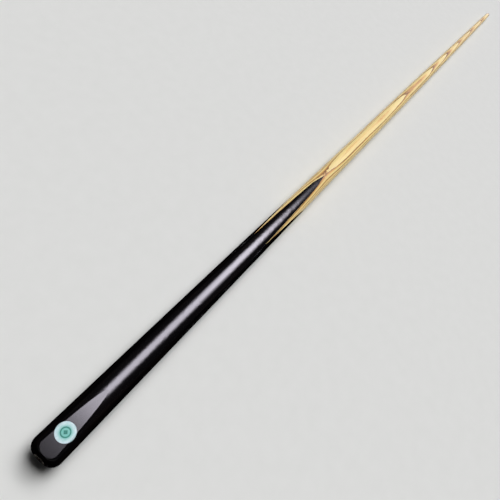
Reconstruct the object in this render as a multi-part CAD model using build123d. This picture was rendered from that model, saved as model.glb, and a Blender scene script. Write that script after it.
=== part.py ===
from build123d import *
import math
import os

# A one-piece, hand-spliced cue that lies along +X, in millimetres.
# Its butt's end face is at X = 0, its leather tip ends at X = cue_length, and the flat with the badge is up.
# The ash shaft ends in a square spike. Two ebony splices are glued to the spike's sides, then two more
# over and under it, and the four of them make up the butt.

# ---- overall length, and the round taper: diameters and where each one is ----
cue_length = 1450.0
butt_d = 30.2
grip_d = 27.2
grip_x = 260.0
splice_d = 24.1
splice_x = 480.0
middle_d = 18.4
middle_from_tip = 550.0
fore_d = 13.3
fore_from_tip = 250.0
butt_edge_r = 8.8

# ---- ferrule and leather tip ----
ferrule_d = 9.4
ferrule_length = 10.0
tenon_d = 7.6
tenon_glue = 0.1
tip_wall = 2.4
tip_dome_r = 9.0

# ---- flat planed on the butt ----
flat_depth = 2.85
flat_length = 71.0

# ---- round badge let into the flat, and the two inlays let into the badge ----
badge_x = 24.6
badge_d = 17.2
badge_thick = 2.0
badge_glue = 0.1
ring_d = 9.0
ring_width = 1.1
diamond_across = 4.2
inlay_thick = 0.6
inlay_glue = 0.04

# ---- splices: where their points and their faces' knees are, and their turn from the flat ----
long_point_x = 483.0
short_point_x = 425.0
point_length = 26.0
point_thick = 0.2
splice_turn = -4.2
knee_x = 320.0
long_knee_half = 9.4
short_knee_half = 9.35

# ---- bore in the butt: extension socket, plug and balance weight ----
bore_d = 12.0
bore_depth = 140.0
bore_glue = 0.1
spike_corner_inset = 0.1
spike_corner_angle = 37.5
socket_length = 32.0
thread_d = 6.65
weight_length = 84.0

# ---- worked out from the sizes above ----
butt_r = butt_d / 2
bore_r = bore_d / 2
badge_r = badge_d / 2
tip_r = ferrule_d / 2
tip_dome_rise = tip_dome_r - math.sqrt(tip_dome_r**2 - tip_r**2)
tip_seat_x = cue_length - tip_wall - tip_dome_rise
shoulder_x = tip_seat_x - ferrule_length
spike_corner_r = bore_r - spike_corner_inset
spike_half_width = spike_corner_r * math.cos(math.radians(spike_corner_angle))
spike_half_thick = spike_corner_r * math.sin(math.radians(spike_corner_angle))
beyond = 2 * butt_d


def taper():
    """The outline of the cue's side, from the butt's end to the ferrule's shoulder."""
    return Spline(
        (0, butt_r),
        (grip_x, grip_d / 2),
        (splice_x, splice_d / 2),
        (cue_length - middle_from_tip, middle_d / 2),
        (cue_length - fore_from_tip, fore_d / 2),
        (shoulder_x, ferrule_d / 2),
    )


def radius_at(x):
    """The cue's outer radius at a distance from the butt's end."""
    crossing = taper().intersect(Line((x, 0), (x, beyond)))
    return crossing[0].Y


def rod(x, radius, length):
    """A round rod along +X that starts at x."""
    start = Plane(origin=(x, 0, 0), x_dir=(0, 1, 0), z_dir=(1, 0, 0))
    return extrude(start * Circle(radius), length)


def flat_plane():
    """The plane of the flat: its origin is on the centre line, at the middle of the badge."""
    rise = radius_at(flat_length) - (butt_r - flat_depth)
    slope = rise / flat_length
    height = butt_r - flat_depth + slope * badge_x
    return Plane(origin=(badge_x, 0, height), x_dir=(1, 0, slope), z_dir=(-slope, 0, 1))


def outer_form():
    """The whole cue up to the shoulder: round, tapered, rounded at the butt's edge, with the flat."""
    side = taper()
    outline = [
        Line((0, 0), (0, butt_r)),
        side,
        Line(side @ 1, (shoulder_x, 0)),
        Line((shoulder_x, 0), (0, 0)),
    ]
    round_form = revolve(make_face(outline), Axis.X)
    butt_edge = round_form.edges().filter_by(GeomType.CIRCLE).sort_by(Axis.X)[0]
    round_form = fillet(butt_edge, butt_edge_r)
    planed_off = flat_plane() * Box(
        cue_length, beyond, beyond, align=(Align.CENTER, Align.CENTER, Align.MIN)
    )
    return round_form - planed_off


def wedge_pair(half_at_spike, half_at_knee, point_x):
    """The two wedges of space, over and under the centre line, that a pair of splices fills.

    Each planed face runs parallel past the bore, rises to the knee, where the ash comes to the cue's
    surface, and then rises more gently. It is point_thick under the surface at point_x. From above,
    each wedge is an arrowhead that comes to its point there.
    """
    half_at_point = radius_at(point_x) - point_thick
    slope = (half_at_point - half_at_knee) / (point_x - knee_x)
    side_view = Polygon(
        (-beyond, half_at_spike),
        (bore_depth, half_at_spike),
        (knee_x, half_at_knee),
        (point_x, half_at_point),
        (point_x, beyond),
        (-beyond, beyond),
        align=None,
    )
    over = extrude(Plane.XZ * side_view, beyond, both=True)

    shoulder_half = half_at_point - slope * point_length
    arrow_half = math.sqrt(radius_at(point_x - point_length) ** 2 - shoulder_half**2)
    reach = point_x + beyond
    spread = reach * arrow_half / point_length
    top_view = Polygon((point_x, 0), (-beyond, spread), (-beyond, -spread), align=None)
    arrowhead = extrude(Plane.XY * top_view, beyond, both=True)
    return (over + mirror(over, Plane.XY)) & arrowhead


def long_wedges():
    """The wedges over and under the spike."""
    return Rot(splice_turn, 0, 0) * wedge_pair(spike_half_thick, long_knee_half, long_point_x)


def short_wedges():
    """The wedges at the spike's sides."""
    return Rot(90 + splice_turn, 0, 0) * wedge_pair(spike_half_width, short_knee_half, short_point_x)


def ash_shaft(form, over_under, sides):
    """The shaft, with its square spike at the butt end and its tenon at the tip end."""
    butt_side = Pos(bore_depth, 0, 0) * Box(
        cue_length, beyond, beyond, align=(Align.MAX, Align.CENTER, Align.CENTER)
    )
    tenon = rod(shoulder_x, tenon_d / 2, ferrule_length)
    return form - over_under - sides - butt_side + tenon


def long_splices(form, over_under):
    """The splices under and over the spike, lower one first. They are glued on last."""
    both = (form & over_under) - rod(0, bore_r, bore_depth)
    return both.solids().sort_by(Axis.Z)


def side_splices(form, over_under, sides):
    """The splices at the spike's sides, right one first. They are glued on first."""
    both = (form & sides) - over_under - rod(0, bore_r, bore_depth)
    return both.solids().sort_by(Axis.Y)


def badge_blank(radius, depth):
    """A disc that goes down from the flat by its depth, at the badge's place."""
    return flat_plane() * Cylinder(
        radius, depth, align=(Align.CENTER, Align.CENTER, Align.MAX)
    )


def diamond_blank(across, depth):
    """A square prism on its corner that goes down from the flat."""
    sketch = Rot(0, 0, 45) * Rectangle(across / math.sqrt(2), across / math.sqrt(2))
    return extrude(flat_plane() * sketch, -depth)


def ring_blank(glue):
    """A ring that goes down from the flat. Glue room widens it on both sides."""
    ring_r = ring_d / 2
    hole = badge_blank(ring_r - ring_width - glue, inlay_thick)
    return badge_blank(ring_r + glue, inlay_thick) - hole


def badge_disc(form):
    """The badge, sanded down with the butt: it is a little wider than the flat."""
    disc = badge_blank(badge_r, badge_thick) & form
    disc -= ring_blank(inlay_glue)
    return disc - diamond_blank(diamond_across + 2 * inlay_glue, inlay_thick)


def ferrule():
    """The brass ring on the tenon. It meets the shoulder and is level with the tenon's end."""
    bore = rod(shoulder_x, tenon_d / 2 + tenon_glue, ferrule_length)
    return rod(shoulder_x, ferrule_d / 2, ferrule_length) - bore


def leather_tip():
    """The tip on the ferrule: a short round wall, trimmed level with the ferrule, under a dome."""
    wall_end_x = tip_seat_x + tip_wall
    outline = [
        Line((cue_length, 0), (tip_seat_x, 0)),
        Line((tip_seat_x, 0), (tip_seat_x, tip_r)),
        Line((tip_seat_x, tip_r), (wall_end_x, tip_r)),
        RadiusArc((wall_end_x, tip_r), (cue_length, 0), tip_dome_r),
    ]
    return revolve(make_face(outline), Axis.X)


def extension_socket():
    """The brass sleeve that takes a butt extension. Its thread is a plain bore at the thread's crest."""
    return rod(0, bore_r - bore_glue, socket_length) - rod(0, thread_d / 2, socket_length)


def weight_plug():
    """The wooden plug between the socket and the balance weight."""
    return rod(socket_length, bore_r - bore_glue, bore_depth - weight_length - socket_length)


def balance_weight():
    """The lead rod at the bottom of the bore, against the end of the ash spike."""
    return rod(bore_depth - weight_length, bore_r - bore_glue, weight_length)


def build():
    """Every piece, by the name of its node."""
    form = outer_form()
    over_under = long_wedges()
    sides = short_wedges()
    lower, upper = long_splices(form, over_under)
    right, left = side_splices(form, over_under, sides)
    pocket = badge_blank(badge_r + badge_glue, badge_thick)
    return {
        "ash_shaft": ash_shaft(form, over_under, sides),
        "upper_splice": upper - pocket,
        "lower_splice": lower,
        "left_splice": left,
        "right_splice": right,
        "badge_disc": badge_disc(form),
        "badge_ring": ring_blank(0),
        "badge_diamond": diamond_blank(diamond_across, inlay_thick),
        "ferrule": ferrule(),
        "leather_tip": leather_tip(),
        "extension_socket": extension_socket(),
        "weight_plug": weight_plug(),
        "balance_weight": balance_weight(),
    }


os.makedirs("parts", exist_ok=True)
for name, piece in build().items():
    export_step(piece, f"parts/{name}.step")
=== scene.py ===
# %% [markdown]
# # A one-piece hand-spliced cue
#
# The cue lies along +X with its butt's end face at the origin and its badge facing up. Every length is in
# metres. The shapes were made in CAD, so this lesson is mostly about what the eye sees: ash with its growth
# layers, lacquered ebony, brass, leather and a small inlaid badge, on a pale floor under a soft studio light.

# %% Load the cue
import bpy
import math
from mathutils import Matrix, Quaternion, Vector


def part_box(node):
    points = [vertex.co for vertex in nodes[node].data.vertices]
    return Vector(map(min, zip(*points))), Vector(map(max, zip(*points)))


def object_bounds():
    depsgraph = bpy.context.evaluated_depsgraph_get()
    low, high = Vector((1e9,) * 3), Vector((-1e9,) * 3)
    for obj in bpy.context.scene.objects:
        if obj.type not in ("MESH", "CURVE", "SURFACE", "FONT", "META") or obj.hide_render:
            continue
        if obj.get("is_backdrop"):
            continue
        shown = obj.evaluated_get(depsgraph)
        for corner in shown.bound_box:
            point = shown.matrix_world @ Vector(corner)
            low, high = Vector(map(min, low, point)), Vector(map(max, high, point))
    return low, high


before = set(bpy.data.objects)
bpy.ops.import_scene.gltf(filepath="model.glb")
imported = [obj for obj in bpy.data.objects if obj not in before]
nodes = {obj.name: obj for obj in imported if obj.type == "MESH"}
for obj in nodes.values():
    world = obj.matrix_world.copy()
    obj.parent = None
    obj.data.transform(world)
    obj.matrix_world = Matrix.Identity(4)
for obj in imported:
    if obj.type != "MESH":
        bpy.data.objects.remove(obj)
cad_low, cad_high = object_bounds()
scene = bpy.context.scene
print("pieces:", ", ".join(sorted(nodes)))
print("the cue is", round(cad_high.x, 4), "m long")

# %% [markdown]
# ## The camera
#
# The cue is seen from above its butt, with the tip running off into the distance. A camera can be placed by
# typing in angles, but it is easier to say where it stands and which point it looks at, and then to roll it
# about its own line of sight, as a person does who tilts the camera to fit a long thing into the corners.

# %% Camera
camera_place = Vector((-0.0578, -0.0156, 0.4485))
camera_target = Vector((0.3037, 0.00026, 0.0))
camera_roll = math.radians(42.05)
sensor_width_mm = 36
lens_mm = 34.9

camera_data = bpy.data.cameras.new("camera")
camera_data.sensor_width = sensor_width_mm
camera_data.lens = lens_mm
camera_data.clip_start = 0.01
camera_data.clip_end = 100
camera = bpy.data.objects.new("camera", camera_data)
scene.collection.objects.link(camera)
camera.location = camera_place
camera.rotation_mode = "QUATERNION"
sight = camera_target - camera_place
camera.rotation_quaternion = sight.to_track_quat("-Z", "Y") @ Quaternion((0, 0, 1), camera_roll)
scene.camera = camera
print("the camera looks down by", round(math.degrees(math.asin(-sight.normalized().z)), 1), "degrees")

# %% [markdown]
# ## Nodes in plain words
#
# A material is a little machine of nodes, and most of its nodes are sums. These helpers each add one node and
# hand back its output, so a finish can be written like a formula: a value that goes into a helper may be a
# number or another node's output.

# %% Helpers for any finish
def feed(tree, socket, value):
    """Gives a socket its value: a link from another node, or a plain number, vector or colour."""
    if isinstance(value, bpy.types.NodeSocket):
        tree.links.new(value, socket)
    else:
        socket.default_value = value


def vector_calc(tree, operation, first, second):
    """A Vector Math node. A distance comes out as a number, and the rest as vectors."""
    node = tree.nodes.new("ShaderNodeVectorMath")
    node.operation = operation
    feed(tree, node.inputs[0], first)
    feed(tree, node.inputs[1], second)
    return node.outputs["Value" if operation == "DISTANCE" else "Vector"]


def grain(tree, vector, scale, detail=2.0, roughness=0.5):
    """A Noise Texture, from 0 to 1. A scale of three numbers stretches it: a small number is a long grain."""
    node = tree.nodes.new("ShaderNodeTexNoise")
    feed(tree, node.inputs["Vector"], vector_calc(tree, "MULTIPLY", vector, scale))
    node.inputs["Scale"].default_value = 1.0
    node.inputs["Detail"].default_value = detail
    node.inputs["Roughness"].default_value = roughness
    return node.outputs["Fac"]


def blend(tree, amount, first, second):
    """Mixes two colours."""
    node = tree.nodes.new("ShaderNodeMix")
    node.data_type = "RGBA"
    feed(tree, node.inputs["Factor"], amount)
    feed(tree, node.inputs["A"], first)
    feed(tree, node.inputs["B"], second)
    return node.outputs["Result"]


def new_finish(name, **settings):
    """A material with its Principled shader set up, and its Object coordinates."""
    material = bpy.data.materials.new(name)
    material.use_nodes = True
    tree = material.node_tree
    shader = tree.nodes["Principled BSDF"]
    for label, value in settings.items():
        shader.inputs[label.replace("_", " ")].default_value = value
    place = tree.nodes.new("ShaderNodeTexCoord").outputs["Object"]
    return material, tree, shader, place


print("helpers ready: sums, grain, blends and finishes")

# %% [markdown]
# ## The floor
#
# A tapered cue doesn't lie with its centre line level: it rests on the low edge of its butt and on one place
# further up the shaft, and its tip hovers. So the floor is found from the cue's own points. It goes through the
# butt's lowest point, and rises as steeply as it can without cutting into the shaft. A sheet of matt board is
# nearly one colour, so its finish has only a faint mottle.

# %% Floor
# Points nearer to the heel than this don't carry the cue.
clear_of_heel = 0.2
floor_size = 30

underside = [v.co for name in ("ash_shaft", "lower_splice") for v in nodes[name].data.vertices]
heel = min(underside, key=lambda co: co.z)
further_up = [co for co in underside if co.x > heel.x + clear_of_heel]
rest_slope = min((co.z - heel.z) / (co.x - heel.x) for co in further_up)
print("the floor rises by", round(math.degrees(math.atan(rest_slope)), 2), "degrees along the cue")

bpy.ops.object.select_all(action="DESELECT")
bpy.ops.mesh.primitive_plane_add(size=floor_size, location=heel)
floor = bpy.context.active_object
floor.name = "floor"
floor.rotation_euler = (0, -math.atan(rest_slope), 0)
floor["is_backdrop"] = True

board_dark = (0.69, 0.73, 0.63, 1)
board_light = (0.73, 0.77, 0.67, 1)
board, tree, shader, place = new_finish("pale_board", Roughness=0.9, Specular_IOR_Level=0.2)
mottle = grain(tree, place, scale=(60, 60, 60), detail=4)
feed(tree, shader.inputs["Base Color"], blend(tree, mottle, board_dark, board_light))
floor.data.materials.append(board)

# %% [markdown]
# ## Sums and smooth steps
#
# The light on the sky and the layers in the wood are both worked out from a place. Its X, Y and Z are taken
# apart, put through sums, and turned into bands with soft edges. Three more helpers do that, and the lights
# need them first.

# %% Helpers for sums
def calc(tree, operation, *values):
    """A Math node."""
    node = tree.nodes.new("ShaderNodeMath")
    node.operation = operation
    for socket, value in zip(node.inputs, values):
        feed(tree, socket, value)
    return node.outputs[0]


def split(tree, vector):
    """The X, Y and Z of a vector."""
    node = tree.nodes.new("ShaderNodeSeparateXYZ")
    feed(tree, node.inputs[0], vector)
    return node.outputs["X"], node.outputs["Y"], node.outputs["Z"]


def soft_step(tree, value, start, end, low=0.0, high=1.0):
    """Goes smoothly from low to high while the value goes from start to end."""
    node = tree.nodes.new("ShaderNodeMapRange")
    node.interpolation_type = "SMOOTHSTEP"
    feed(tree, node.inputs["Value"], value)
    feed(tree, node.inputs["From Min"], start)
    feed(tree, node.inputs["From Max"], end)
    feed(tree, node.inputs["To Min"], low)
    feed(tree, node.inputs["To Max"], high)
    return node.outputs["Result"]


print("helpers ready: sums, parts of a vector and smooth steps")

# %% [markdown]
# ## Where the light is
#
# Black lacquer works as a mirror, so the shape of the light is the shape of the highlight. A long softbox
# hangs over the cue and leans towards the tip: it gives the butt one soft stripe along its top, and leaves the
# near end of the flat dark. It could be an area lamp, but a lamp of that size has hard edges. Here the softbox
# is painted on the sky with smooth steps along the cue and across it, so its edges fade and it lights the floor
# evenly. A dim wall far ahead, past the tip, is painted in the same way.
#
# A place on the sky has two angles: how far it leans from straight up towards the tip, and how far it lies to
# the side of the lights' middle line. Each edge is given by the two angles between which it fades, in degrees.

# %% Shape of the lights
lights_middle = 1.6
softbox_near_edge = (7.1, 10.8)
softbox_far_edge = (41.5, 49)
softbox_side_edge = (6, 33)
softbox_brightens = (26, 42)
softbox_brightness = (0.93, 1.30)
far_wall_near_edge = (58, 68)
far_wall_side_edge = (8, 26)

world = bpy.data.worlds.new("studio")
scene.world = world
world.use_nodes = True
tree = world.node_tree
toward = tree.nodes.new("ShaderNodeTexCoord").outputs["Generated"]
toward_x, toward_y, toward_z = split(tree, toward)
lean = calc(tree, "DEGREES", calc(tree, "ARCTAN2", toward_x, toward_z))
to_the_left = calc(tree, "DEGREES", calc(tree, "ARCSINE", toward_y))
aside = calc(tree, "ABSOLUTE", calc(tree, "SUBTRACT", to_the_left, lights_middle))

near_edge = soft_step(tree, lean, *softbox_near_edge)
far_edge = soft_step(tree, lean, *softbox_far_edge, low=1, high=0)
side_edge = soft_step(tree, aside, *softbox_side_edge, low=1, high=0)
brighter_ahead = soft_step(tree, lean, *softbox_brightens, *softbox_brightness)
box_along = calc(tree, "MULTIPLY", near_edge, far_edge)
box_across = calc(tree, "MULTIPLY", side_edge, brighter_ahead)
softbox = calc(tree, "MULTIPLY", box_along, box_across)

wall_edge = soft_step(tree, lean, *far_wall_near_edge)
wall_side_edge = soft_step(tree, aside, *far_wall_side_edge, low=1, high=0)
far_wall = calc(tree, "MULTIPLY", wall_edge, wall_side_edge)
print("the softbox leans from", softbox_near_edge[0], "to", softbox_far_edge[1], "degrees")

# %% [markdown]
# ## How bright the light is
#
# The rest of the sky is nearly black, because the ebony would show it. A camera that looks at the sky itself
# sees neither softbox nor wall, only a plain pale backdrop. The Light Path node tells those looks apart from
# the light that falls on the cue.

# %% Strength of the lights
softbox_power = 8.0
far_wall_power = 1.2
room_glow = 0.02
backdrop_glow = 0.72
light_colour = (1.0, 0.95, 1.08, 1)

glow = calc(tree, "MULTIPLY_ADD", softbox, softbox_power, room_glow)
glow = calc(tree, "MULTIPLY_ADD", far_wall, far_wall_power, glow)
seen_directly = tree.nodes.new("ShaderNodeLightPath").outputs["Is Camera Ray"]
behind_lights = calc(tree, "MULTIPLY", glow, calc(tree, "SUBTRACT", 1.0, seen_directly))
sky = tree.nodes["Background"]
sky.inputs["Color"].default_value = light_colour
strength = calc(tree, "MULTIPLY_ADD", seen_directly, backdrop_glow, behind_lights)
feed(tree, sky.inputs["Strength"], strength)
scene.view_settings.view_transform = "Standard"
print("softbox power", softbox_power, "and far wall", far_wall_power)

# %% [markdown]
# ## Handled lacquer
#
# Every finish on a used cue has the same film over it: faint smears from the hand, and very fine lines from
# wiping it lengthwise. A node group works like a tool with labelled inputs and outputs, so one group makes both
# for the woods, the ebony and the badge. It gives a roughness and a height, so that the smears only show where
# light glances off them.

# %% Handled film group
SOCKETS = {"vector": "NodeSocketVector", "number": "NodeSocketFloat", "colour": "NodeSocketColor"}


def new_group(name, inputs, outputs):
    """An empty node group with named sockets, and its input and output nodes."""
    tree = bpy.data.node_groups.new(name, "ShaderNodeTree")
    for label, kind in inputs:
        tree.interface.new_socket(name=label, in_out="INPUT", socket_type=SOCKETS[kind])
    for label, kind in outputs:
        tree.interface.new_socket(name=label, in_out="OUTPUT", socket_type=SOCKETS[kind])
    return tree, tree.nodes.new("NodeGroupInput").outputs, tree.nodes.new("NodeGroupOutput").inputs


hairlines_in_roughness = 0.35
hairlines_in_height = 0.3

film, given, result = new_group(
    "handled_film",
    [("Vector", "vector"), ("Smoothest", "number"), ("Roughest", "number")],
    [("Roughness", "number"), ("Height", "number")],
)
smears = grain(film, given["Vector"], scale=(35, 160, 160), detail=3)
hairlines = grain(film, given["Vector"], scale=(60, 5200, 5200), detail=1)
smeared = calc(film, "MULTIPLY", smears, 1 - hairlines_in_roughness)
smeared = calc(film, "MULTIPLY_ADD", hairlines, hairlines_in_roughness, smeared)
dulled = soft_step(film, smeared, 0.35, 0.7, given["Smoothest"], given["Roughest"])
raised = calc(film, "MULTIPLY", smears, 1 - hairlines_in_height)
raised = calc(film, "MULTIPLY_ADD", hairlines, hairlines_in_height, raised)
feed(film, result["Roughness"], dulled)
feed(film, result["Height"], raised)
print("group:", film.name)

# %% [markdown]
# ## Ash
#
# An ash tree adds one layer of wood a year. Each layer starts with a band of open pores, which is brown, and
# ends dense and pale. A thin dark line parts it from its neighbour. The shaft is cut so that the layers lie
# almost level, and the taper cuts through them one after the other. That draws the long arrowheads that a cue
# player looks along. Where a layer dips and rises again, it leaves a long pale eye.
#
# So this isn't a picture of stripes: from a point's place in the wood, the group works out how far up its own
# layer the point is. The course of the layers along the shaft is a curve of listed points.

# %% Growth layer group
layer_thickness = 0.0028
layer_lean = math.radians(10)
ripple_height = 0.0016
# The course, in millimetres: places along the cue, and how high the layer lies there.
layer_course = [
    (0, -7.0), (300, -8.0), (380, -9.0), (435, -10.3), (472, -11.8), (484, -12.05),
    (498, -11.75), (530, -10.5), (573, -9.6), (650, -9.15), (715, -8.75), (785, -9.05),
    (817, -9.6), (850, -9.75), (890, -9.83), (925, -9.98), (945, -10.6), (965, -11.3),
    (1074, -13.2), (1157, -15.2), (1253, -17.2), (1361, -19.2), (1450, -21.0),
]
course_length = 1450
course_depth = 24.0

layers, given, result = new_group(
    "growth_layers",
    [("Vector", "vector"), ("Thickness", "number")],
    [("Stage", "number"), ("Pores", "number")],
)
along, to_side, up = split(layers, given["Vector"])

# A Float Curve holds numbers from 0 to 1, so the course goes in as shares of its length and depth.
course = layers.nodes.new("ShaderNodeFloatCurve")
curve = course.mapping.curves[0]
places = [(x / course_length, 1 + y / course_depth) for x, y in layer_course]
for point, (x, y) in zip(curve.points, (places[0], places[-1])):
    point.location = (x, y)
for x, y in places[1:-1]:
    curve.points.new(x, y)
course.mapping.update()
feed(layers, course.inputs["Value"], calc(layers, "DIVIDE", along, course_length / 1000))
below_top = calc(layers, "SUBTRACT", course.outputs[0], 1.0)
course_height = calc(layers, "MULTIPLY", below_top, course_depth / 1000)

upright = calc(layers, "MULTIPLY", up, math.cos(layer_lean))
leaning_up = calc(layers, "MULTIPLY_ADD", to_side, math.sin(layer_lean), upright)
unevenness = grain(layers, given["Vector"], scale=(9, 90, 90), detail=3)
ripple = calc(layers, "MULTIPLY", calc(layers, "SUBTRACT", unevenness, 0.5), ripple_height)
height = calc(layers, "ADD", calc(layers, "ADD", leaning_up, course_height), ripple)
count = calc(layers, "DIVIDE", height, given["Thickness"])
feed(layers, result["Stage"], calc(layers, "SUBTRACT", count, calc(layers, "FLOOR", count)))
fibres = grain(layers, given["Vector"], scale=(16, 1100, 1100), detail=3, roughness=0.6)
feed(layers, result["Pores"], soft_step(layers, fibres, 0.54, 0.62))
print("group:", layers.name, "with layers", layer_thickness * 1000, "mm thick")

# %% [markdown]
# ## Ramps, groups and relief
#
# Three last helpers finish the tool box. A ramp turns a number into colours, a group is put to work inside a
# material, and a height becomes fine relief that only bends the light.

# %% Helpers for detailed finishes
def shades(tree, value, stops):
    """A Color Ramp: a list of places and colours."""
    node = tree.nodes.new("ShaderNodeValToRGB")
    ramp = node.color_ramp
    while len(ramp.elements) < len(stops):
        ramp.elements.new(0.5)
    for element, (place, colour) in zip(ramp.elements, stops):
        element.position = place
        element.color = (*colour, 1)
    feed(tree, node.inputs["Fac"], value)
    return node.outputs["Color"]


def use_group(tree, group, **values):
    """Puts a node group into a material and feeds its inputs by name. An underscore stands for a space."""
    node = tree.nodes.new("ShaderNodeGroup")
    node.node_tree = group
    for label, value in values.items():
        feed(tree, node.inputs[label.replace("_", " ")], value)
    return node.outputs


def relief(tree, shader, height, depth):
    """A Bump node: a height from 0 to 1 becomes relief that is depth metres deep."""
    node = tree.nodes.new("ShaderNodeBump")
    node.inputs["Strength"].default_value = 1.0
    node.inputs["Distance"].default_value = depth
    feed(tree, node.inputs["Height"], height)
    tree.links.new(node.outputs["Normal"], shader.inputs["Normal"])


print("helpers ready: ramps, groups and relief")

# %% [markdown]
# ## Ash: the finish
#
# The Stage says how far up its layer a point is, from 0 to 1. The heart of the tree was above this shaft, so
# each layer's pale end lies low in it, and its porous start lies high, against the dark line. A Color Ramp
# turns the Stage into those colours. Pores are short dark dashes along the grain, a few in the pale wood and
# many in the porous band, where they also crowd into bunches. Slow changes of tone keep the pale wood from
# looking printed. Over it all lies a thin satin lacquer, and the pores are a little dull and sunk.

# %% Ash finish
pore_brown = (0.12, 0.055, 0.018, 1)
tone_brown = (0.62, 0.35, 0.09, 1)
pores_in_pale_wood = 0.15
pore_dulling = 0.2
pore_sinking = 0.8

ash, tree, shader, place = new_finish(
    "ash", Coat_Weight=0.3, Coat_Roughness=0.3, Coat_IOR=1.45, Specular_IOR_Level=0.3
)
layer = use_group(tree, layers, Vector=place, Thickness=layer_thickness)
wood = shades(tree, layer["Stage"], [
    (0.00, (0.66, 0.40, 0.12)),
    (0.04, (0.98, 0.87, 0.36)),
    (0.55, (0.97, 0.77, 0.28)),
    (0.72, (0.84, 0.49, 0.13)),
    (0.90, (0.56, 0.29, 0.08)),
    (0.96, (0.14, 0.060, 0.02)),
    (1.00, (0.26, 0.12, 0.04)),
])
porous = soft_step(tree, layer["Stage"], 0.52, 0.9)
pore_share = calc(tree, "MULTIPLY_ADD", porous, 1 - pores_in_pale_wood, pores_in_pale_wood)
single_pores = calc(tree, "MULTIPLY", layer["Pores"], pore_share)
bunches = soft_step(tree, grain(tree, place, scale=(13, 430, 430), detail=2), 0.49, 0.58, high=0.5)
pore_dark = calc(tree, "MAXIMUM", single_pores, calc(tree, "MULTIPLY", bunches, porous))
wood = blend(tree, pore_dark, wood, pore_brown)
tone = soft_step(tree, grain(tree, place, scale=(7, 55, 55), detail=3), 0.35, 0.75, high=0.3)
feed(tree, shader.inputs["Base Color"], blend(tree, tone, wood, tone_brown))
skin = use_group(tree, film, Vector=place, Smoothest=0.32, Roughest=0.5)
dulled = calc(tree, "MULTIPLY_ADD", pore_dark, pore_dulling, skin["Roughness"])
feed(tree, shader.inputs["Roughness"], dulled)
sunk_pores = calc(tree, "SUBTRACT", skin["Height"], calc(tree, "MULTIPLY", pore_dark, pore_sinking))
relief(tree, shader, sunk_pores, depth=0.00003)
print("finish:", ash.name)

# %% [markdown]
# ## Ebony
#
# Ebony is so dark that its grain only shows as faint brown and grey streaks, with short closed pores. The look
# comes from the lacquer, which is rubbed down and polished: a clear coat over a base that doesn't shine by
# itself, just rough enough to turn the light into a soft stripe.
#
# Lacquer mirrors more, the more slanted the look at it, so a pale floor would turn the butt's sides grey. The
# coat therefore fades out round the cue, from the line that faces the eye to the sides. A Layer Weight tells
# how squarely a place faces the eye. On a cue that is seen nearly end-on no place does, so that number is
# divided by how far the cue as a whole lies across the line of sight. A second Layer Weight finds this, because
# it is given the cue's own direction in place of the surface's. The fade then goes round the cue, and not along
# it.

# %% Ebony finish
coat_gone = 0.70
coat_whole = 0.84
# A little over 1, so that nothing is divided by zero when the cue points straight at the eye.
just_over_one = 1.0001
heart_dark = (0.0012, 0.0010, 0.0012, 1)
heart_light = (0.0045, 0.0030, 0.0024, 1)
pore_black = (0.0006, 0.0005, 0.0005, 1)

ebony, tree, shader, place = new_finish(
    "ebony", Coat_Roughness=0.17, Coat_IOR=1.69, Specular_IOR_Level=0.0
)
facing_away = tree.nodes.new("ShaderNodeLayerWeight").outputs["Facing"]
head_on = calc(tree, "SUBTRACT", 1.0, facing_away)
lengthwise = tree.nodes.new("ShaderNodeVectorTransform")
lengthwise.vector_type = "NORMAL"
lengthwise.convert_from = "OBJECT"
lengthwise.convert_to = "WORLD"
lengthwise.inputs["Vector"].default_value = (1, 0, 0)
end_on = tree.nodes.new("ShaderNodeLayerWeight")
feed(tree, end_on.inputs["Normal"], lengthwise.outputs["Vector"])
sight_along = calc(tree, "SUBTRACT", 1.0, end_on.outputs["Facing"])
sight_along_squared = calc(tree, "MULTIPLY", sight_along, sight_along)
sight_across = calc(tree, "SQRT", calc(tree, "SUBTRACT", just_over_one, sight_along_squared))
round_the_cue = calc(tree, "DIVIDE", head_on, sight_across)
feed(tree, shader.inputs["Coat Weight"], soft_step(tree, round_the_cue, coat_gone, coat_whole))

streaks = soft_step(tree, grain(tree, place, scale=(14, 420, 420), detail=4, roughness=0.55), 0.45, 0.75)
pores = soft_step(tree, grain(tree, place, scale=(220, 3600, 3600), detail=1), 0.62, 0.74)
heart = blend(tree, streaks, heart_dark, heart_light)
heart = blend(tree, calc(tree, "MULTIPLY", pores, 0.6), heart, pore_black)
feed(tree, shader.inputs["Base Color"], heart)
skin = use_group(tree, film, Vector=place, Smoothest=0.16, Roughest=0.24)
feed(tree, shader.inputs["Roughness"], skin["Roughness"])
sunk_pores = calc(tree, "SUBTRACT", skin["Height"], calc(tree, "MULTIPLY", pores, 0.7))
relief(tree, shader, sunk_pores, depth=0.000012)
print("finish:", ebony.name)

# %% [markdown]
# ## The badge
#
# The badge is a disc of white resin let into the flat and sanded level with it. It has a green ring and a
# diamond inlaid into it, and the white inside the ring is tinted pale mint. It has a slight swirl, as cast
# resin has, and a fine haze from polishing.

# %% Resin group
swirl, given, result = new_group(
    "resin_swirl",
    [("Vector", "vector"), ("Light", "colour"), ("Dark", "colour")],
    [("Color", "colour"), ("Height", "number")],
)
clouds = grain(swirl, given["Vector"], scale=(420, 420, 420), detail=4, roughness=0.6)
clouded = soft_step(swirl, clouds, 0.3, 0.7)
feed(swirl, result["Color"], blend(swirl, clouded, given["Light"], given["Dark"]))
feed(swirl, result["Height"], grain(swirl, given["Vector"], scale=(2600, 2600, 2600), detail=2))

print("group:", swirl.name)

# %% Badge finishes
resin_white = (0.60, 0.77, 0.72, 1)
resin_white_shade = (0.44, 0.68, 0.63, 1)
resin_mint = (0.13, 0.52, 0.40, 1)
resin_green = (0.03, 0.28, 0.19, 1)
resin_green_shade = (0.02, 0.20, 0.14, 1)
haze_depth = 0.00001

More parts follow.
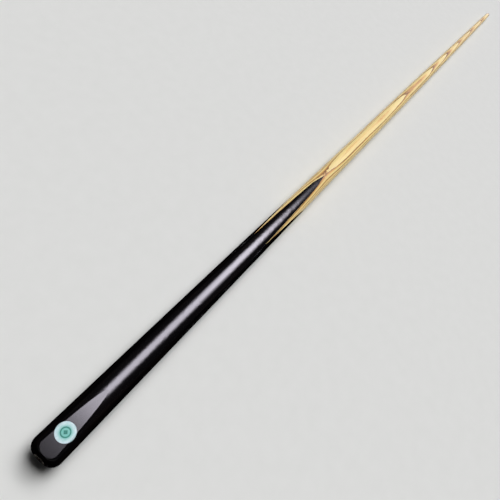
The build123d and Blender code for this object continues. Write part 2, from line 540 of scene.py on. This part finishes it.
badge_low, badge_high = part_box("badge_diamond")
badge_centre = (badge_low + badge_high) / 2
ring_low, ring_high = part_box("badge_ring")
ring_radius = (ring_high.y - ring_low.y) / 2

badge_white, tree, shader, place = new_finish(
    "badge_white", Coat_Weight=0.3, Coat_Roughness=0.15, Coat_IOR=1.5
)
resin = use_group(tree, swirl, Vector=place, Light=resin_white, Dark=resin_white_shade)
from_centre = vector_calc(tree, "DISTANCE", place, tuple(badge_centre))
inside = soft_step(tree, from_centre, ring_radius * 0.8, ring_radius * 1.7, low=1, high=0)
feed(tree, shader.inputs["Base Color"], blend(tree, inside, resin["Color"], resin_mint))
skin = use_group(tree, film, Vector=place, Smoothest=0.25, Roughest=0.4)
feed(tree, shader.inputs["Roughness"], skin["Roughness"])
relief(tree, shader, resin["Height"], depth=haze_depth)

badge_teal, tree, shader, place = new_finish(
    "badge_teal", Coat_Weight=0.1, Coat_Roughness=0.15, Coat_IOR=1.5, Specular_IOR_Level=0.25
)
resin = use_group(tree, swirl, Vector=place, Light=resin_green, Dark=resin_green_shade)
feed(tree, shader.inputs["Base Color"], resin["Color"])
skin = use_group(tree, film, Vector=place, Smoothest=0.22, Roughest=0.4)
feed(tree, shader.inputs["Roughness"], skin["Roughness"])
relief(tree, shader, resin["Height"], depth=haze_depth)
print("badge centre at", [round(c * 1000, 2) for c in badge_centre], "mm")
print("ring radius", round(ring_radius * 1000, 2), "mm")

# %% [markdown]
# ## Turned metal
#
# The ferrule and the socket are turned from brass on a lathe, and the weight is cast lead. A lathe tool leaves
# fine rings round the axis, and handling tarnishes the metal in soft patches. One group makes the rings and the
# patches for all three: it only needs to know how far apart the rings are.

# %% Turned metal group
turned, given, result = new_group(
    "turned_metal",
    [("Vector", "vector"), ("Ring Spacing", "number"), ("Bright", "colour"), ("Tarnished", "colour")],
    [("Color", "colour"), ("Roughness", "number"), ("Height", "number")],
)
along = split(turned, given["Vector"])[0]
rings = calc(turned, "DIVIDE", along, given["Ring Spacing"])
ring_wave = calc(turned, "SINE", calc(turned, "MULTIPLY", rings, 2 * math.pi))
patches = grain(turned, given["Vector"], scale=(260, 260, 260), detail=4, roughness=0.6)
tarnish = soft_step(turned, patches, 0.42, 0.72)
feed(turned, result["Color"], blend(turned, tarnish, given["Bright"], given["Tarnished"]))
feed(turned, result["Roughness"], calc(turned, "MULTIPLY_ADD", tarnish, 0.22, 0.2))
raised = calc(turned, "MULTIPLY_ADD", ring_wave, 0.3, calc(turned, "MULTIPLY", tarnish, 0.4))
feed(turned, result["Height"], raised)
print("group:", turned.name)


# %% Metal finishes
def metal_finish(name, spacing, bright, tarnished, depth, metallic=1.0):
    """A turned metal in two colours."""
    material, tree, shader, place = new_finish(name, Metallic=metallic)
    metal = use_group(
        tree, turned, Vector=place, Ring_Spacing=spacing, Bright=bright, Tarnished=tarnished
    )
    feed(tree, shader.inputs["Base Color"], metal["Color"])
    feed(tree, shader.inputs["Roughness"], metal["Roughness"])
    relief(tree, shader, metal["Height"], depth)
    return material


ferrule_brass = metal_finish(
    "ferrule_brass", spacing=0.0006,
    bright=(0.93, 0.76, 0.42, 1), tarnished=(0.60, 0.43, 0.20, 1), depth=0.000012,
)
# The socket's bright and tarnished brass are both painted nearly black: painted shade for the butt's end face,
# which lies in shadow.
socket_brass = metal_finish(
    "socket_brass", spacing=0.0004,
    bright=(0.13, 0.09, 0.05, 1), tarnished=(0.05, 0.036, 0.022, 1), depth=0.000015,
)
lead = metal_finish(
    "lead", spacing=0.004,
    bright=(0.30, 0.31, 0.33, 1), tarnished=(0.13, 0.13, 0.14, 1), depth=0.00004, metallic=0.8,
)
print("finishes:", ferrule_brass.name, socket_brass.name, lead.name)

# %% [markdown]
# ## Leather tip
#
# A tip is pressed from layers of leather and shaped into a dome. Its side is burnished and shows the layers as
# thin lines. Its crown is scuffed, and packed with blue-green chalk that gathers where the balls strike.

# %% Leather finish
ply_thickness = 0.0007
# How far above its seat the tip is still bare, and how near to its top the chalk is whole.
bare_wall = 0.0016
chalk_full = 0.0004
hide_dark = (0.30, 0.19, 0.10, 1)
hide_light = (0.46, 0.31, 0.18, 1)
ply_line = (0.12, 0.07, 0.04, 1)
chalk = (0.44, 0.76, 0.62, 1)

tip_low, tip_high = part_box("leather_tip")
tip_leather, tree, shader, place = new_finish(
    "tip_leather", Specular_IOR_Level=0.25, Sheen_Weight=0.3, Sheen_Roughness=0.5
)
along = split(tree, place)[0]
ply_wave = calc(tree, "SINE", calc(tree, "MULTIPLY", along, 2 * math.pi / ply_thickness))
fibre = grain(tree, place, scale=(2400, 2400, 2400), detail=4, roughness=0.65)
hide = blend(tree, fibre, hide_dark, hide_light)
hide = blend(tree, soft_step(tree, ply_wave, 0.6, 1.0, high=0.5), hide, ply_line)
crown = soft_step(tree, along, tip_low.x + bare_wall, tip_high.x - chalk_full)
chalk_caught = calc(tree, "MULTIPLY", crown, calc(tree, "ADD", fibre, 0.45))
chalked = soft_step(tree, chalk_caught, 0.15, 0.6)
feed(tree, shader.inputs["Base Color"], blend(tree, chalked, hide, chalk))
feed(tree, shader.inputs["Roughness"], calc(tree, "MULTIPLY_ADD", chalked, 0.3, 0.6))
relief(tree, shader, calc(tree, "MULTIPLY_ADD", ply_wave, 0.15, fibre), depth=0.00008)
print("finish:", tip_leather.name)

# %% [markdown]
# ## Plug wood
#
# The plug in the bore is a plain dowel of pale hardwood. It is out of sight, but it still gets its own grain,
# so the part is complete when it is taken apart.

# %% Plug finish
dowel_layer_thickness = 0.0011
dowel_pore_brown = (0.25, 0.15, 0.08, 1)

plug_wood, tree, shader, place = new_finish("plug_wood", Specular_IOR_Level=0.3)
layer = use_group(tree, layers, Vector=place, Thickness=dowel_layer_thickness)
dowel = shades(tree, layer["Stage"], [
    (0.0, (0.62, 0.42, 0.22)),
    (0.3, (0.72, 0.52, 0.30)),
    (0.9, (0.52, 0.33, 0.16)),
])
dowel = blend(tree, calc(tree, "MULTIPLY", layer["Pores"], 0.5), dowel, dowel_pore_brown)
feed(tree, shader.inputs["Base Color"], dowel)
skin = use_group(tree, film, Vector=place, Smoothest=0.55, Roughest=0.75)
feed(tree, shader.inputs["Roughness"], skin["Roughness"])
relief(tree, shader, skin["Height"], depth=0.00005)
print("finish:", plug_wood.name)

# %% [markdown]
# ## Give each piece its finish
#
# The CAD pieces already have the right shape and place, so they only get a new material in their one slot.

# %% Assign
finishes = {
    "ash_shaft": ash,
    "upper_splice": ebony,
    "lower_splice": ebony,
    "left_splice": ebony,
    "right_splice": ebony,
    "badge_disc": badge_white,
    "badge_ring": badge_teal,
    "badge_diamond": badge_teal,
    "ferrule": ferrule_brass,
    "leather_tip": tip_leather,
    "extension_socket": socket_brass,
    "weight_plug": plug_wood,
    "balance_weight": lead,
}
for name, material in finishes.items():
    nodes[name].material_slots[0].material = material
print("pieces with a finish:", len(finishes), "of", len(nodes))

# %% [markdown]
# ## Check the size, and finish
#
# Looks never change the object's size. The box of the CAD model and the box of what is shown are written
# down, so that they can be compared.

# %% Size, and the end
seen_low, seen_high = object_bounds()
growth = (seen_high - seen_low) - (cad_high - cad_low)
print("grown by", [round(side * 1000, 3) for side in growth], "mm")
